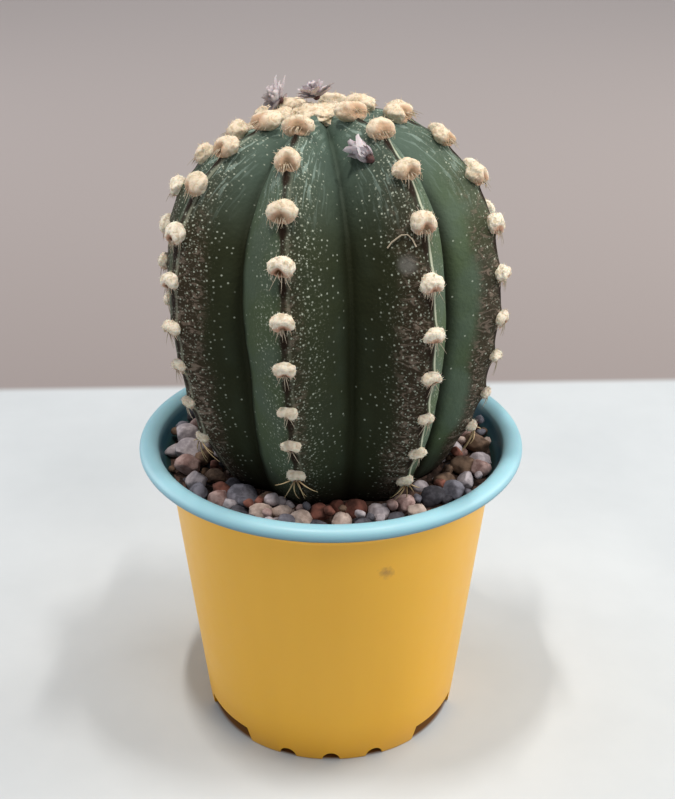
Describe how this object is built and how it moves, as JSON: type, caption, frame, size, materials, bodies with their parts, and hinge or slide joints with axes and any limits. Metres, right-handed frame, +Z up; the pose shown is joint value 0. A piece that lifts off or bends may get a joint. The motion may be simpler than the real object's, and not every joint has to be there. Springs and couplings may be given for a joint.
{
  "type": "potted bishops cap cactus",
  "caption": "Ribbed bishop's cap cactus with woolly areoles and withered flowers, set in pebbles in a tapered growing pot with a pale rim",
  "frame": {"origin": "on the standing surface, at the middle of the pot's foot ring", "axes": "+Z is up along the pot's axis; -Y is the front, the side that the picture shows; +X is to the right of that view"},
  "size_m": [0.11, 0.11, 0.1899],
  "materials": {
    "pot_plastic": "satin thermoformed sheet, yellow outside and pale blue inside and on the rim",
    "soil": "dark crumbly potting soil",
    "pebbles": "dry rounded pebbles in grey, pink, brick red and cream",
    "cactus_skin": "matt green skin with cream wool tufts and straw spines",
    "dried_petals": "matt withered papery petals"
  },
  "bodies": {
    "root": {"pot": "pot_plastic", "soil": "soil", "gravel": "pebbles", "stem": "cactus_skin", "dried_flower_1": "dried_petals", "dried_flower_2": "dried_petals", "dried_flower_3": "dried_petals"}
  },
  "joints": []
}
